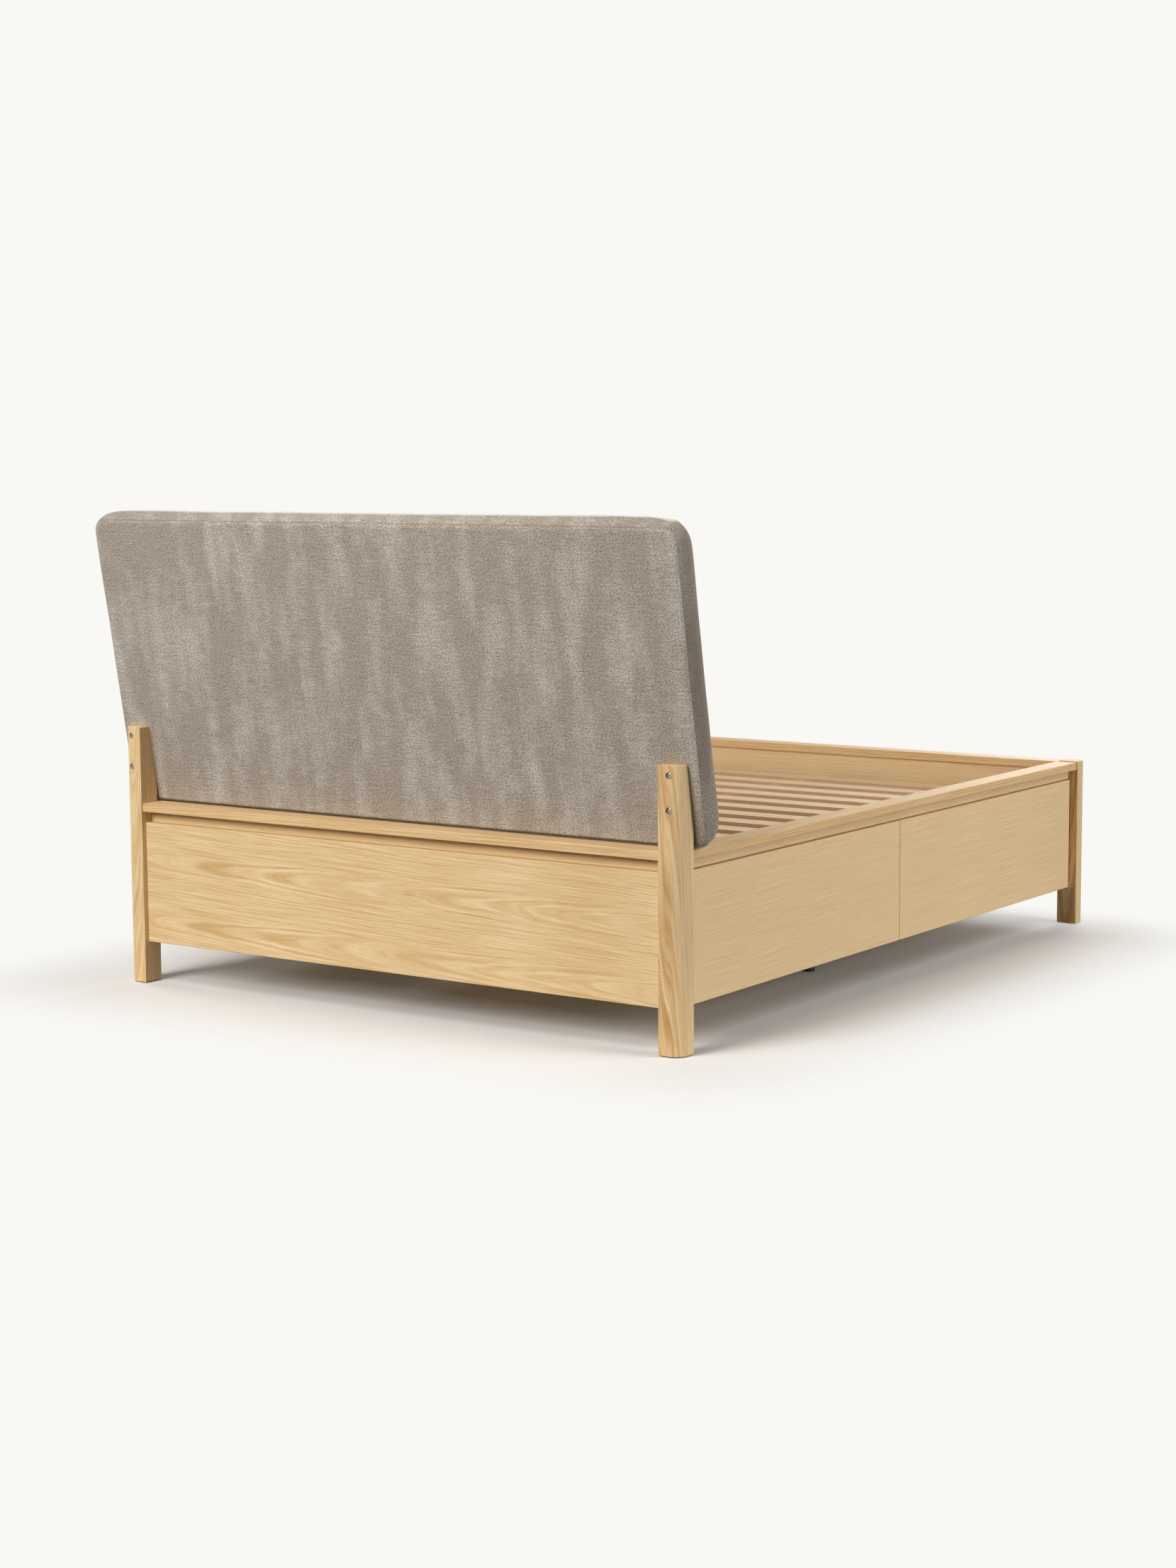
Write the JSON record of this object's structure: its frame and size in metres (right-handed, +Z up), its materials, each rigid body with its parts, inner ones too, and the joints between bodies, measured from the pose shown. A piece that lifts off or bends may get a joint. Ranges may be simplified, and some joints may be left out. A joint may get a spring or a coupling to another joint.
{
  "type": "storage bed frame",
  "caption": "Oak double bed frame with flat cap rails, drawers along both long sides, a slatted base and a leaning padded headboard bolted to the head posts.",
  "frame": {"origin": "on the floor, midway across the bed and midway between the foot face and the headboard's rear edge", "axes": "+Z up, +Y towards the head end, +X to the right when looking from the foot to the head"},
  "size_m": [1.812, 2.2572, 1.2374],
  "materials": {
    "oak": "clear matt oil on pale oak",
    "plywood": "sanded birch plywood",
    "beech": "planed beech",
    "upholstery": "grey-brown chenille weave",
    "zinc_steel": "zinc-plated steel",
    "nickel": "satin nickel plate",
    "black_metal": "black powder coat",
    "glide": "black plastic"
  },
  "bodies": {
    "frame": {"beam_rests": "beech", "bracket_screws": "zinc_steel", "centre_beam_foot": "beech", "centre_beam_head": "beech", "corner_brackets": "zinc_steel", "divider": "plywood", "foot_apron": "oak", "foot_cap_rail": "oak", "foot_panel": "oak", "foot_post_left": "oak", "foot_post_right": "oak", "head_apron": "oak", "head_cap_rail": "oak", "head_panel": "oak", "head_post_left": "oak", "head_post_right": "oak", "headboard_back_cover": "upholstery", "headboard_board": "plywood", "headboard_bolts": "nickel", "headboard_cushion": "upholstery", "headboard_inserts": "zinc_steel", "headboard_washers": "nickel", "leg_glides": "glide", "outer_slides": "zinc_steel", "post_glides": "glide", "side_apron_left": "oak", "side_apron_right": "oak", "side_beam_left": "oak", "side_beam_right": "oak", "side_cap_rail_left": "oak", "side_cap_rail_right": "oak", "slat_bearer_left": "beech", "slat_bearer_right": "beech", "slats": "beech", "support_legs": "black_metal"},
    "drawer_head_left": {"drawer_head_left_back": "plywood", "drawer_head_left_bottom": "plywood", "drawer_head_left_front": "oak", "drawer_head_left_inner_slides": "zinc_steel", "drawer_head_left_sides": "plywood"},
    "drawer_head_left_runners": {"drawer_head_left_middle_slides": "zinc_steel"},
    "drawer_head_right": {"drawer_head_right_back": "plywood", "drawer_head_right_bottom": "plywood", "drawer_head_right_front": "oak", "drawer_head_right_inner_slides": "zinc_steel", "drawer_head_right_sides": "plywood"},
    "drawer_head_right_runners": {"drawer_head_right_middle_slides": "zinc_steel"},
    "drawer_foot_left": {"drawer_foot_left_back": "plywood", "drawer_foot_left_bottom": "plywood", "drawer_foot_left_front": "oak", "drawer_foot_left_inner_slides": "zinc_steel", "drawer_foot_left_sides": "plywood"},
    "drawer_foot_left_runners": {"drawer_foot_left_middle_slides": "zinc_steel"},
    "drawer_foot_right": {"drawer_foot_right_back": "plywood", "drawer_foot_right_bottom": "plywood", "drawer_foot_right_front": "oak", "drawer_foot_right_inner_slides": "zinc_steel", "drawer_foot_right_sides": "plywood"},
    "drawer_foot_right_runners": {"drawer_foot_right_middle_slides": "zinc_steel"}
  },
  "joints": [
    {"name": "drawer_head_left_slide", "type": "slide", "parent": "frame", "child": "drawer_head_left", "axis": [-1, 0, 0], "range_m": [0, 0.55]},
    {"name": "drawer_head_left_runner_slide", "type": "slide", "parent": "frame", "child": "drawer_head_left_runners", "axis": [-1, 0, 0], "range_m": [0, 0.275]},
    {"name": "drawer_head_right_slide", "type": "slide", "parent": "frame", "child": "drawer_head_right", "axis": [1, 0, 0], "range_m": [0, 0.55]},
    {"name": "drawer_head_right_runner_slide", "type": "slide", "parent": "frame", "child": "drawer_head_right_runners", "axis": [1, 0, 0], "range_m": [0, 0.275]},
    {"name": "drawer_foot_left_slide", "type": "slide", "parent": "frame", "child": "drawer_foot_left", "axis": [-1, 0, 0], "range_m": [0, 0.55]},
    {"name": "drawer_foot_left_runner_slide", "type": "slide", "parent": "frame", "child": "drawer_foot_left_runners", "axis": [-1, 0, 0], "range_m": [0, 0.275]},
    {"name": "drawer_foot_right_slide", "type": "slide", "parent": "frame", "child": "drawer_foot_right", "axis": [1, 0, 0], "range_m": [0, 0.55]},
    {"name": "drawer_foot_right_runner_slide", "type": "slide", "parent": "frame", "child": "drawer_foot_right_runners", "axis": [1, 0, 0], "range_m": [0, 0.275]}
  ],
  "couplings": [
    {"joint": "drawer_head_left_runner_slide", "follows": "drawer_head_left_slide", "ratio": 0.5},
    {"joint": "drawer_head_right_runner_slide", "follows": "drawer_head_right_slide", "ratio": 0.5},
    {"joint": "drawer_foot_left_runner_slide", "follows": "drawer_foot_left_slide", "ratio": 0.5},
    {"joint": "drawer_foot_right_runner_slide", "follows": "drawer_foot_right_slide", "ratio": 0.5}
  ]
}
